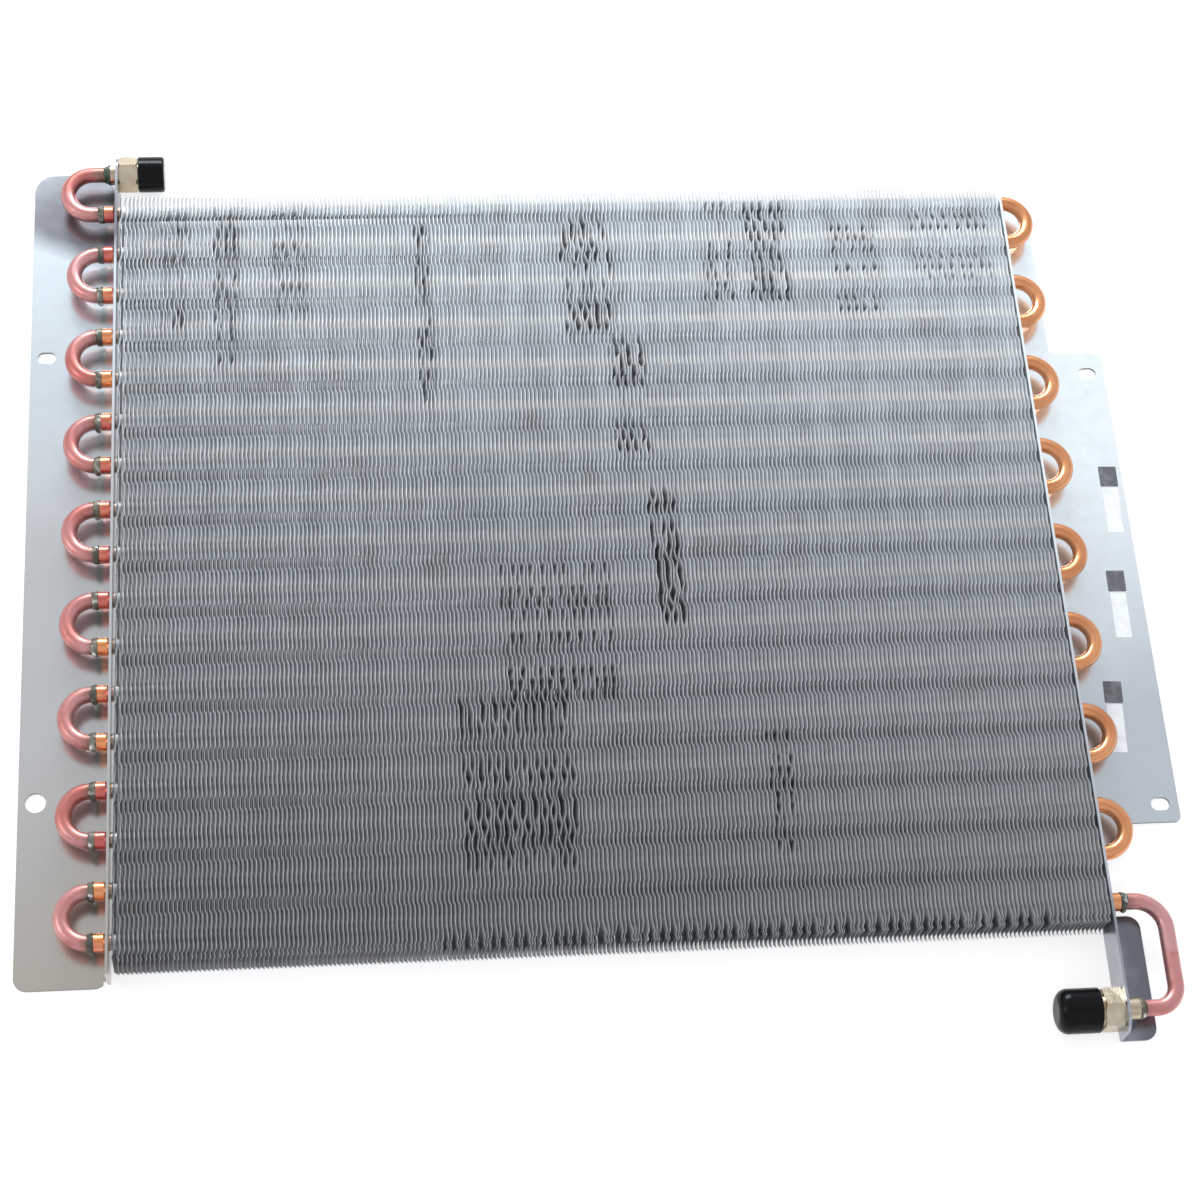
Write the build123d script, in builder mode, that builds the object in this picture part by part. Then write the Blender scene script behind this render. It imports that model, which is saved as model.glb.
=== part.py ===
from build123d import *
import math
import os

os.makedirs("parts", exist_ok=True)

# Condenser coil of a cab air conditioner, lying on the back faces of its end plates.
# x runs across the coil, y up the bank of tubes and z from the back face to the front.

# Tube bank
tube_count = 17
tube_pitch = 31.75
tube_od = 9.52
tube_wall = 0.6
core_width = 600.0

# Expanded tube ends, and the bends brazed into them
bend_od = 10.0
bend_wall = 0.7
braze_clearance = 0.05
cup_wall = 0.6
cup_offset = 0.6
cup_taper = 1.4
cup_length = 8.6
bend_insertion = 5.6
braze_length = 2.4
braze_gap = 0.02
return_bend_leg = 11.0
inlet_bend_leg = 16.0
hairpin_leg = 3.2

# Fins
fin_thickness = 0.2
fin_pitch = 2.64
fin_depth = 27.0
fin_top_margin = 5.2
fin_bottom_margin = 15.9
fin_gap_left = 3.4
fin_gap_right = 1.6
fin_tube_clearance = 0.02

# End plates, each bent from one sheet
plate_thickness = 1.6
plate_depth = 29.0
bend_inner_radius = 1.5
plate_hole_clearance = 0.1

left_plate_above = 8.65
left_plate_below = 23.6
left_flange_width = 55.5
left_top_corner = 13.5
left_bottom_corner = 8.0
left_front_corner = 11.5
bend_relief_radius = 9.0

right_plate_above = 6.0
right_strip_width = 24.5
right_strip_end = 38.0
right_strip_corner = 4.0
right_front_corner = 8.0
ear_width = 60.0
ear_top_drop = 113.8
ear_bottom_rise = 12.1
tab_width = 22.5
tab_top_drop = 5.0
tab_end_margin = 16.0
tab_corner = 8.0
tab_front_corner = 10.0

# Fixing slots and the round hole
slot_length = 12.0
slot_width = 8.5
fixing_hole_diameter = 12.5
fixing_spacing = 311.3
left_fixing_inset = 10.5
left_fixing_drop = 143.1
right_fixing_inset = 11.7
right_fixing_drop = 15.6

# Outlet pipe
outlet_drop = 67.0
outlet_pipe_reach = 34.4
outlet_top_radius = 18.0
outlet_bottom_radius = 14.0

# Screwed fittings
shank_wall = 1.6
inlet_shank_length = 5.0
outlet_shank_length = 10.0
socket_depth = 8.0
flow_bore = 7.6
hex_chamfer = 1.0
neck_relief = 1.0
nose_step = 3.4
nose_length = 4.0
inlet_hex_across_flats = 20.6
inlet_hex_length = 12.4
inlet_thread_diameter = 19.05
inlet_thread_length = 9.2
outlet_hex_across_flats = 23.8
outlet_hex_length = 12.0
outlet_thread_diameter = 22.2
outlet_thread_length = 19.0

# Dust caps
cap_clearance = 0.1
cap_end_thickness = 2.0
cap_headroom = 1.6
inlet_cap_gap = 0.6
inlet_cap_wall = 2.3
inlet_cap_edge = 2.0
outlet_cap_gap = 2.2
outlet_cap_wall = 2.4
outlet_cap_edge = 7.0

# Sizes worked out from those above
cup_bore = bend_od + 2 * braze_clearance
cup_od = cup_bore + 2 * cup_wall
shank_bore = bend_od + 2 * braze_clearance
shank_od = shank_bore + 2 * shank_wall
bend_outer_radius = bend_inner_radius + plate_thickness
inlet_cap_od = inlet_thread_diameter + 2 * (cap_clearance + inlet_cap_wall)
outlet_cap_od = outlet_thread_diameter + 2 * (cap_clearance + outlet_cap_wall)
nose_reach = neck_relief + nose_length + cap_headroom + cap_end_thickness
inlet_cap_length = inlet_thread_length + nose_reach - inlet_cap_gap
outlet_cap_length = outlet_thread_length + nose_reach - outlet_cap_gap

# Places, with x and y counted from the middle of the whole part
overall_width = left_flange_width + core_width + ear_width
left_face = left_flange_width - overall_width / 2
right_face = left_face + core_width
bank_height = (tube_count - 1) * tube_pitch
overall_height = tab_end_margin + outlet_drop + bank_height + tube_pitch + inlet_cap_od / 2
outlet_y = tab_end_margin - overall_height / 2
last_tube_y = outlet_y + outlet_drop
first_tube_y = last_tube_y + bank_height
inlet_y = first_tube_y + tube_pitch
bank_middle_y = (first_tube_y + last_tube_y) / 2
tube_z = plate_depth / 2
tube_plane = Plane.XY.offset(tube_z)
tube_rows = [first_tube_y - n * tube_pitch for n in range(tube_count)]

left_plate_top = inlet_y + left_plate_above
left_plate_bottom = last_tube_y - left_plate_below
right_plate_top = first_tube_y + right_plate_above
right_plate_bottom = outlet_y - tab_end_margin
ear_top = first_tube_y - ear_top_drop
ear_bottom = ear_top - right_fixing_drop - fixing_spacing - ear_bottom_rise
strip_x = right_face + right_strip_width
ear_x = right_face + ear_width
tab_x = right_face + tab_width
strip_bottom = last_tube_y + right_strip_end
tab_top = last_tube_y - tab_top_drop
left_cup_mouth = left_face - cup_length
right_cup_mouth = right_face + cup_length


def along_x(y):
    """The line along x through the tube axis at height y."""
    return Axis((0, y, tube_z), (1, 0, 0))


def revolved_section(*points):
    """A closed half section in the plane of the tubes."""
    with BuildSketch(tube_plane) as section:
        with BuildLine():
            Polyline(*points, close=True)
        make_face()
    return section.sketch


def cup_section(face, outward, y):
    """Half section of the expanded end of a tube outside an end plate."""
    start = face + outward * cup_offset
    shoulder = start + outward * cup_taper
    mouth = face + outward * cup_length
    return revolved_section(
        (start, y + tube_od / 2 - tube_wall),
        (start, y + tube_od / 2),
        (shoulder, y + cup_od / 2),
        (mouth, y + cup_od / 2),
        (mouth, y + cup_bore / 2),
        (shoulder, y + cup_bore / 2),
    )


def braze_section(mouth, outward, y, wide, narrow):
    """Half section of the solder fillet from a mouth down to the pipe in it."""
    end = mouth + outward * braze_length
    inner = y + narrow / 2 + braze_gap
    return revolved_section(
        (mouth, inner),
        (mouth, y + wide / 2),
        (mouth + outward * braze_length / 2, y + (wide + narrow) / 4 + 2 * cup_wall / 3),
        (end, inner + cup_wall / 4),
        (end, inner),
    )


def pipe_ring(x, y, outward, diameter, wall):
    """Cross-section of a pipe that leaves (x, y) along x."""
    with BuildSketch(Plane(origin=(x, y, tube_z), z_dir=(outward, 0, 0))) as ring:
        Circle(diameter / 2)
        Circle(diameter / 2 - wall, mode=Mode.SUBTRACT)
    return ring.sketch


def save(piece, name):
    """Labels a finished piece and writes it."""
    piece.part.label = name
    export_step(piece.part, "parts/" + name + ".step")


# Fin pack: thin plates, each with one long window that the tubes fill from edge to edge
fin_run = core_width - 2 * plate_thickness - fin_gap_left - fin_gap_right - fin_thickness
fin_count = int(fin_run / fin_pitch) + 1
first_fin_x = left_face + plate_thickness + fin_gap_left
fin_height = fin_top_margin + bank_height + fin_bottom_margin
fin_middle_y = first_tube_y + fin_top_margin - fin_height / 2
window_width = tube_od + 2 * fin_tube_clearance
window_height = bank_height + window_width
fin_planes = [Plane.YZ.offset(first_fin_x + n * fin_pitch) for n in range(fin_count)]

with BuildPart() as fin_pack:
    with BuildSketch(*fin_planes):
        with Locations((fin_middle_y, tube_z)):
            Rectangle(fin_height, fin_depth)
        with Locations((bank_middle_y, tube_z)):
            Rectangle(window_height, window_width, mode=Mode.SUBTRACT)
    extrude(amount=fin_thickness)
save(fin_pack, "fin_pack")

# Hairpins: two long legs and the bend at the right, with both open ends expanded at the left
for pair in range(tube_count // 2):
    upper = tube_rows[2 * pair]
    lower = tube_rows[2 * pair + 1]
    leg_start = left_face - cup_offset
    bend_start = right_face + hairpin_leg
    with BuildPart() as hairpin:
        with BuildLine(tube_plane) as route:
            Line((leg_start, upper), (bend_start, upper))
            ThreePointArc(
                (bend_start, upper),
                (bend_start + tube_pitch / 2, (upper + lower) / 2),
                (bend_start, lower),
            )
            Line((bend_start, lower), (leg_start, lower))
        sweep(pipe_ring(leg_start, upper, 1, tube_od, tube_wall), path=route.wires()[0])
        for y in (upper, lower):
            revolve(cup_section(left_face, -1, y), axis=along_x(y))
    save(hairpin, "hairpin_tube_" + str(pair + 1))

# Last tube: straight, expanded at both ends
with BuildPart() as last_tube:
    extrude(
        pipe_ring(left_face - cup_offset, last_tube_y, 1, tube_od, tube_wall),
        amount=core_width + 2 * cup_offset,
    )
    revolve(cup_section(left_face, -1, last_tube_y), axis=along_x(last_tube_y))
    revolve(cup_section(right_face, 1, last_tube_y), axis=along_x(last_tube_y))
save(last_tube, "straight_tube")


def bend_route(upper, lower, upper_end, lower_end, bend_start):
    """The line of a return bend at the left, from its upper end round to its lower end."""
    with BuildLine(tube_plane) as route:
        Line((upper_end, upper), (bend_start, upper))
        ThreePointArc(
            (bend_start, upper),
            (bend_start - tube_pitch / 2, (upper + lower) / 2),
            (bend_start, lower),
        )
        Line((bend_start, lower), (lower_end, lower))
    return route.wires()[0]


# Return bends: each joins two hairpins in their expanded ends
inserted_end = left_cup_mouth + bend_insertion
for joint in range(tube_count // 2):
    upper = tube_rows[2 * joint + 1]
    lower = tube_rows[2 * joint + 2]
    bend_start = left_face - return_bend_leg
    with BuildPart() as return_bend:
        sweep(
            pipe_ring(inserted_end, upper, -1, bend_od, bend_wall),
            path=bend_route(upper, lower, inserted_end, inserted_end, bend_start),
        )
    save(return_bend, "return_bend_" + str(joint + 1))

# Inlet bend: from the inlet fitting down to the first tube
inlet_socket_end = left_face - inlet_shank_length + socket_depth
with BuildPart() as inlet_bend:
    bend_start = left_face - inlet_bend_leg
    sweep(
        pipe_ring(inlet_socket_end, inlet_y, -1, bend_od, bend_wall),
        path=bend_route(inlet_y, first_tube_y, inlet_socket_end, inserted_end, bend_start),
    )
save(inlet_bend, "inlet_bend")

# Outlet pipe: out of the last tube, down, and back to the outlet fitting in the tab
pipe_x = right_face + outlet_pipe_reach
pipe_start = right_cup_mouth - bend_insertion
pipe_end = right_face + outlet_shank_length - socket_depth
with BuildPart() as outlet_pipe:
    with BuildLine(tube_plane) as route:
        FilletPolyline(
            (pipe_start, last_tube_y),
            (pipe_x, last_tube_y),
            (pipe_x, outlet_y),
            (pipe_end, outlet_y),
            radius=[outlet_top_radius, outlet_bottom_radius],
        )
    sweep(pipe_ring(pipe_start, last_tube_y, 1, bend_od, bend_wall), path=route.wires()[0])
save(outlet_pipe, "outlet_pipe")

# Solder fillets round the joints
with BuildPart() as left_brazes:
    for y in tube_rows:
        revolve(braze_section(left_cup_mouth, -1, y, cup_od, bend_od), axis=along_x(y))
save(left_brazes, "return_bend_brazes")

with BuildPart() as inlet_braze:
    revolve(
        braze_section(left_face - inlet_shank_length, -1, inlet_y, shank_od, bend_od),
        axis=along_x(inlet_y),
    )
save(inlet_braze, "inlet_braze")

with BuildPart() as outlet_pipe_braze:
    revolve(
        braze_section(right_cup_mouth, 1, last_tube_y, cup_od, bend_od),
        axis=along_x(last_tube_y),
    )
save(outlet_pipe_braze, "outlet_pipe_braze")

with BuildPart() as outlet_fitting_braze:
    revolve(
        braze_section(right_face + outlet_shank_length, 1, outlet_y, shank_od, bend_od),
        axis=along_x(outlet_y),
    )
save(outlet_fitting_braze, "outlet_fitting_braze")


def strip_and_ear_outline():
    """The rear flange of the right plate: a narrow strip that widens into the ear."""
    with BuildSketch(Plane.XY) as outline:
        with BuildLine():
            Polyline(
                (right_face, right_plate_top),
                (strip_x, right_plate_top),
                (strip_x, ear_top),
                (ear_x, ear_top),
                (ear_x, ear_bottom),
                (strip_x, ear_bottom),
                (strip_x, strip_bottom),
                (right_face, strip_bottom),
                close=True,
            )
        make_face()
        columns = outline.vertices().group_by(Axis.X)
        fillet(columns[1] + columns[2], right_strip_corner)
    return outline.sketch


def tab_outline():
    """The rear flange of the tab below the core."""
    with BuildSketch(Plane.XY) as outline:
        with BuildLine():
            Polyline(
                (right_face, tab_top),
                (tab_x, tab_top),
                (tab_x, right_plate_bottom),
                (right_face, right_plate_bottom),
                close=True,
            )
        make_face()
        fillet(outline.vertices().group_by(Axis.X)[-1], tab_corner)
    return outline.sketch


def corner_waste(plane, corner, across, up, radius):
    """The bit left outside a rounded corner, whose sides run along across and up."""
    with BuildSketch(plane) as waste:
        with Locations((corner[0] + across * radius / 2, corner[1] + up * radius / 2)):
            Rectangle(radius, radius)
        with Locations((corner[0] + across * radius, corner[1] + up * radius)):
            Circle(radius, mode=Mode.SUBTRACT)
    return waste.sketch


# Left end plate: tube sheet and wide rear flange, with the inlet fitting above the core
with BuildPart() as left_end_plate:
    with BuildSketch(Plane.XZ.offset(-left_plate_top)) as angle:
        with BuildLine():
            Polyline(
                (left_face - left_flange_width, 0),
                (left_face + plate_thickness, 0),
                (left_face + plate_thickness, plate_depth),
                (left_face, plate_depth),
                (left_face, plate_thickness),
                (left_face - left_flange_width, plate_thickness),
                close=True,
            )
        make_face()
        levels = angle.vertices().group_by(Axis.Y)
        fillet(levels[0].sort_by(Axis.X)[-1], bend_outer_radius)
        fillet(levels[1].sort_by(Axis.X)[-1], bend_inner_radius)
    extrude(amount=left_plate_top - left_plate_bottom)
    outer_corners = edges().filter_by(Axis.Z).group_by(Axis.X)[0].sort_by(Axis.Y)
    fillet(outer_corners[-1], left_top_corner)
    fillet(outer_corners[0], left_bottom_corner)
    extrude(
        corner_waste(
            Plane.YZ.offset(left_face), (left_plate_top, plate_depth), -1, -1, left_front_corner
        ),
        amount=plate_thickness,
        mode=Mode.SUBTRACT,
    )
    extrude(
        corner_waste(Plane.XY, (left_face, left_plate_bottom), -1, 1, bend_relief_radius),
        amount=bend_outer_radius,
        mode=Mode.SUBTRACT,
    )
    extrude(
        corner_waste(
            Plane.YZ.offset(left_face - bend_outer_radius),
            (left_plate_bottom, 0),
            1,
            1,
            bend_relief_radius,
        ),
        amount=bend_outer_radius + plate_thickness,
        mode=Mode.SUBTRACT,
    )
    with BuildSketch(Plane.YZ.offset(left_face)):
        with Locations(*[(y, tube_z) for y in tube_rows]):
            Circle(tube_od / 2 + plate_hole_clearance)
        with Locations((inlet_y, tube_z)):
            Circle(shank_od / 2 + plate_hole_clearance)
    extrude(amount=plate_thickness, mode=Mode.SUBTRACT)
    left_fixing_x = left_face - left_flange_width + left_fixing_inset
    left_fixing_y = left_plate_top - left_fixing_drop
    with BuildSketch(Plane.XY):
        with Locations((left_fixing_x, left_fixing_y)):
            SlotOverall(slot_length, slot_width)
        with Locations((left_fixing_x, left_fixing_y - fixing_spacing)):
            Circle(fixing_hole_diameter / 2)
    extrude(amount=plate_thickness, mode=Mode.SUBTRACT)
save(left_end_plate, "left_end_plate")

# Right end plate: tube sheet with a narrow rear strip, a wide ear and the outlet tab
with BuildPart() as right_end_plate:
    with BuildSketch(Plane.XZ.offset(-right_plate_top)) as angle:
        with BuildLine():
            Polyline(
                (right_face - plate_thickness, 0),
                (ear_x, 0),
                (ear_x, plate_thickness),
                (right_face, plate_thickness),
                (right_face, plate_depth),
                (right_face - plate_thickness, plate_depth),
                close=True,
            )
        make_face()
        levels = angle.vertices().group_by(Axis.Y)
        fillet(levels[0].sort_by(Axis.X)[0], bend_outer_radius)
        fillet(levels[1].sort_by(Axis.X)[0], bend_inner_radius)
    extrude(amount=right_plate_top - right_plate_bottom)
    with BuildSketch(Plane.XY):
        with Locations((right_face + ear_width, (right_plate_top + right_plate_bottom) / 2)):
            Rectangle(2 * ear_width, 2 * (right_plate_top - right_plate_bottom))
        add(strip_and_ear_outline(), mode=Mode.SUBTRACT)
        add(tab_outline(), mode=Mode.SUBTRACT)
    extrude(amount=bend_outer_radius, mode=Mode.SUBTRACT)
    with BuildSketch(Plane.YZ.offset(right_face)):
        add(corner_waste(Plane.XY, (right_plate_top, plate_depth), -1, -1, right_front_corner))
        add(corner_waste(Plane.XY, (right_plate_bottom, plate_depth), 1, -1, tab_front_corner))
        with Locations(*[(y, tube_z) for y in tube_rows]):
            Circle(tube_od / 2 + plate_hole_clearance)
        with Locations((outlet_y, tube_z)):
            Circle(shank_od / 2 + plate_hole_clearance)
    extrude(amount=-plate_thickness, mode=Mode.SUBTRACT)
    right_fixing_x = right_face + ear_width - right_fixing_inset
    right_fixing_y = ear_top - right_fixing_drop
    with BuildSketch(Plane.XY):
        with Locations(
            (right_fixing_x, right_fixing_y),
            (right_fixing_x, right_fixing_y - fixing_spacing),
        ):
            SlotOverall(slot_length, slot_width)
    extrude(amount=plate_thickness, mode=Mode.SUBTRACT)
save(right_end_plate, "right_end_plate")


def hexagon(x, y, across_flats, length):
    """A hexagonal bar along +x from x, with its corners turned down at both ends."""
    with BuildPart() as bar:
        with BuildSketch(Plane(origin=(x, y, tube_z), x_dir=(0, 0, 1), z_dir=(1, 0, 0))):
            RegularPolygon(across_flats / 2, 6, major_radius=False)
        extrude(amount=length)
        across_corners = across_flats / math.cos(math.radians(30))
        edge = across_corners / 2 - hex_chamfer * math.tan(math.radians(30)) * 2
        with BuildSketch(tube_plane):
            with BuildLine():
                Polyline(
                    (x, y),
                    (x, y + edge),
                    (x + hex_chamfer, y + across_corners / 2),
                    (x + length - hex_chamfer, y + across_corners / 2),
                    (x + length, y + edge),
                    (x + length, y),
                    close=True,
                )
            make_face()
        revolve(axis=along_x(y), mode=Mode.INTERSECT)
    return bar.part


def fitting_section(face, inward, y, shank, hex_length, thread_diameter, thread_length):
    """Half section of a fitting without its hexagon, from the shank's mouth to the nose."""
    mouth = face - inward * shank
    shoulder = face + inward * plate_thickness
    neck = shoulder + inward * hex_length
    thread = neck + inward * neck_relief
    thread_end = thread + inward * thread_length
    nose = thread_end + inward * nose_length
    neck_radius = thread_diameter / 2 - neck_relief
    nose_radius = thread_diameter / 2 - nose_step
    return revolved_section(
        (mouth, y),
        (mouth, y + shank_od / 2),
        (shoulder, y + shank_od / 2),
        (shoulder, y + neck_radius),
        (thread, y + neck_radius),
        (thread, y + thread_diameter / 2 - neck_relief / 2),
        (thread + inward * neck_relief / 2, y + thread_diameter / 2),
        (thread_end - inward * neck_relief, y + thread_diameter / 2),
        (thread_end, y + neck_radius),
        (thread_end, y + nose_radius),
        (nose, y + nose_radius),
        (nose, y),
    )


def fitting_bores(face, inward, y, shank):
    """Half section of the socket for the pipe and the flow bore beyond it."""
    mouth = face - inward * shank
    socket_end = mouth + inward * socket_depth
    far = face + inward * core_width / 2
    return revolved_section(
        (mouth, y),
        (mouth, y + shank_bore / 2),
        (socket_end, y + shank_bore / 2),
        (socket_end, y + flow_bore / 2),
        (far, y + flow_bore / 2),
        (far, y),
    )


def cap_section(neck, inward, y, gap, bore, wall, length, edge):
    """Half section of a dust cap, from its mouth past the hexagon to its closed end."""
    mouth = neck + inward * gap
    end = mouth + inward * length
    inner_end = end - inward * cap_end_thickness
    inner_edge = max(edge - wall, cap_clearance)
    outer = y + bore / 2 + wall
    inner = y + bore / 2
    slant = math.sqrt(0.5)
    with BuildSketch(tube_plane) as section:
        with BuildLine():
            Line((mouth, inner), (mouth, outer))
            Line((mouth, outer), (end - inward * edge, outer))
            ThreePointArc(
                (end - inward * edge, outer),
                (end - inward * edge * (1 - slant), outer - edge * (1 - slant)),
                (end, outer - edge),
            )
            Line((end, outer - edge), (end, y))
            Line((end, y), (inner_end, y))
            Line((inner_end, y), (inner_end, inner - inner_edge))
            ThreePointArc(
                (inner_end, inner - inner_edge),
                (
                    inner_end - inward * inner_edge * (1 - slant),
                    inner - inner_edge * (1 - slant),
                ),
                (inner_end - inward * inner_edge, inner),
            )
            Line((inner_end - inward * inner_edge, inner), (mouth, inner))
        make_face()
    return section.sketch


# Inlet fitting: its shank passes through the left plate, and it points in over the core
inlet_neck = left_face + plate_thickness + inlet_hex_length
with BuildPart() as inlet_fitting:
    add(
        hexagon(
            left_face + plate_thickness, inlet_y, inlet_hex_across_flats, inlet_hex_length
        )
    )
    revolve(
        fitting_section(
            left_face,
            1,
            inlet_y,
            inlet_shank_length,
            inlet_hex_length,
            inlet_thread_diameter,
            inlet_thread_length,
        ),
        axis=along_x(inlet_y),
    )
    revolve(
        fitting_bores(left_face, 1, inlet_y, inlet_shank_length),
        axis=along_x(inlet_y),
        mode=Mode.SUBTRACT,
    )
save(inlet_fitting, "inlet_fitting")

with BuildPart() as inlet_cap:
    revolve(
        cap_section(
            inlet_neck,
            1,
            inlet_y,
            inlet_cap_gap,
            inlet_thread_diameter + 2 * cap_clearance,
            inlet_cap_wall,
            inlet_cap_length,
            inlet_cap_edge,
        ),
        axis=along_x(inlet_y),
    )
save(inlet_cap, "inlet_cap")

# Outlet fitting: its shank passes through the tab, and it points in under the core
outlet_neck = right_face - plate_thickness - outlet_hex_length
with BuildPart() as outlet_fitting:
    add(hexagon(outlet_neck, outlet_y, outlet_hex_across_flats, outlet_hex_length))
    revolve(
        fitting_section(
            right_face,
            -1,
            outlet_y,
            outlet_shank_length,
            outlet_hex_length,
            outlet_thread_diameter,
            outlet_thread_length,
        ),
        axis=along_x(outlet_y),
    )
    revolve(
        fitting_bores(right_face, -1, outlet_y, outlet_shank_length),
        axis=along_x(outlet_y),
        mode=Mode.SUBTRACT,
    )
save(outlet_fitting, "outlet_fitting")

with BuildPart() as outlet_cap:
    revolve(
        cap_section(
            outlet_neck,
            -1,
            outlet_y,
            outlet_cap_gap,
            outlet_thread_diameter + 2 * cap_clearance,
            outlet_cap_wall,
            outlet_cap_length,
            outlet_cap_edge,
        ),
        axis=along_x(outlet_y),
    )
save(outlet_cap, "outlet_cap")
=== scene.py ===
import math
import random

import bpy
import numpy as np
from mathutils import Matrix, Vector
from mathutils.geometry import tessellate_polygon


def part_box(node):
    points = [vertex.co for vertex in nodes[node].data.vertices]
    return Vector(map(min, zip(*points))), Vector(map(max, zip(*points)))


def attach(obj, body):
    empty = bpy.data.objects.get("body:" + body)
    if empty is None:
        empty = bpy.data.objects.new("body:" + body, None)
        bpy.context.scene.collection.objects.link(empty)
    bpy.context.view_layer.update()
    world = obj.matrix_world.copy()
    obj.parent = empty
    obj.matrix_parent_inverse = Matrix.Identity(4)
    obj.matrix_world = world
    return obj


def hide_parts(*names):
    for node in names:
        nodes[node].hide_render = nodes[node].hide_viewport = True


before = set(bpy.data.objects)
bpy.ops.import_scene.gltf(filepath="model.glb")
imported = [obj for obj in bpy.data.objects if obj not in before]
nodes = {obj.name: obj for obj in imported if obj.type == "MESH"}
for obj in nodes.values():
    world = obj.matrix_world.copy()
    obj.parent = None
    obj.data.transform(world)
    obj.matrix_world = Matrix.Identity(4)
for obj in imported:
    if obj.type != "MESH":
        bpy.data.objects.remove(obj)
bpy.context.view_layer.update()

MM = 0.001
draw = random.Random(7)

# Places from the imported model
fin_low, fin_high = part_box("fin_pack")
_, left_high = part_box("left_end_plate")
right_low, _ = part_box("right_end_plate")

# Sizes that part.py has too
fin_thickness = 0.2 * MM
fin_pitch = 2.64 * MM
plate_thickness = 1.6 * MM
tube_radius = 4.76 * MM
cup_radius = 5.65 * MM
bend_radius = 5.0 * MM
shank_radius = 6.65 * MM

# Heights of the seventeen tubes, from the top down
rows = []
for n in range(1, 9):
    low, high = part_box(f"hairpin_tube_{n}")
    rows += [high.y - cup_radius, low.y + cup_radius]
low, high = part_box("straight_tube")
rows.append((low.y + high.y) / 2)
tube_z = (low.z + high.z) / 2
left_mouth = low.x
right_mouth = high.x
tube_pitch = (rows[0] - rows[-1]) / (len(rows) - 1)
left_face = left_high.x - plate_thickness
fin_count = round((fin_high.x - fin_low.x - fin_thickness) / fin_pitch) + 1


# Materials
class Shade:
    """A material and the few node patterns that its look is made of, by place in metres."""

    def __init__(self, name, colour, metallic, roughness):
        self.material = bpy.data.materials.new(name)
        self.material.use_nodes = True
        self.tree = self.material.node_tree
        self.surface = self.tree.nodes["Principled BSDF"]
        self.surface.inputs["Base Color"].default_value = (*colour, 1)
        self.surface.inputs["Metallic"].default_value = metallic
        self.surface.inputs["Roughness"].default_value = roughness
        coordinates = self.add("ShaderNodeTexCoord")
        self.place = coordinates.outputs["Object"]
        self.facing = coordinates.outputs["Normal"]
        self.height = None

    def add(self, kind, **values):
        made = self.tree.nodes.new(kind)
        for key, value in values.items():
            setattr(made, key, value)
        return made

    def join(self, source, target):
        self.tree.links.new(source, target)

    def scaled(self, x, y, z):
        """The place with each axis scaled, so that a noise runs out long or short along it."""
        mapping = self.add("ShaderNodeMapping")
        mapping.inputs["Scale"].default_value = (x, y, z)
        self.join(self.place, mapping.inputs["Vector"])
        return mapping.outputs["Vector"]

    def noise(self, scale, detail=3, rough=0.5, place=None, distortion=0.0):
        made = self.add("ShaderNodeTexNoise")
        made.inputs["Scale"].default_value = scale
        made.inputs["Detail"].default_value = detail
        made.inputs["Roughness"].default_value = rough
        made.inputs["Distortion"].default_value = distortion
        self.join(place or self.place, made.inputs["Vector"])
        return made.outputs["Fac"]

    def axis(self, name):
        parts = self.add("ShaderNodeSeparateXYZ")
        self.join(self.place, parts.inputs[0])
        return parts.outputs[name]

    def span(self, value, start, end, low=0.0, high=1.0):
        """value taken from start..end to low..high and held there."""
        made = self.add("ShaderNodeMapRange")
        made.clamp = True
        self.join(value, made.inputs["Value"])
        for key, number in (
            ("From Min", start),
            ("From Max", end),
            ("To Min", low),
            ("To Max", high),
        ):
            made.inputs[key].default_value = number
        return made.outputs["Result"]

    def math(self, operation, a, b=0.0):
        made = self.add("ShaderNodeMath", operation=operation)
        for socket, value in ((made.inputs[0], a), (made.inputs[1], b)):
            if isinstance(value, (int, float)):
                socket.default_value = value
            else:
                self.join(value, socket)
        return made.outputs[0]

    def mix(self, share, a, b, blend="MIX"):
        made = self.add("ShaderNodeMix", data_type="RGBA", blend_type=blend)
        for socket, value in ((made.inputs[0], share), (made.inputs[6], a), (made.inputs[7], b)):
            if isinstance(value, (int, float)):
                socket.default_value = value
            elif isinstance(value, tuple):
                socket.default_value = (*value, 1)
            else:
                self.join(value, socket)
        return made.outputs[2]

    def colour(self, source):
        self.join(source, self.surface.inputs["Base Color"])

    def roughness(self, source):
        self.join(source, self.surface.inputs["Roughness"])

    def bump(self, height, distance, strength=1.0):
        made = self.add("ShaderNodeBump")
        made.inputs["Distance"].default_value = distance
        made.inputs["Strength"].default_value = strength
        self.join(height, made.inputs["Height"])
        if self.height:
            self.join(self.height, made.inputs["Normal"])
        self.height = made.outputs["Normal"]
        self.join(self.height, self.surface.inputs["Normal"])


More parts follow.
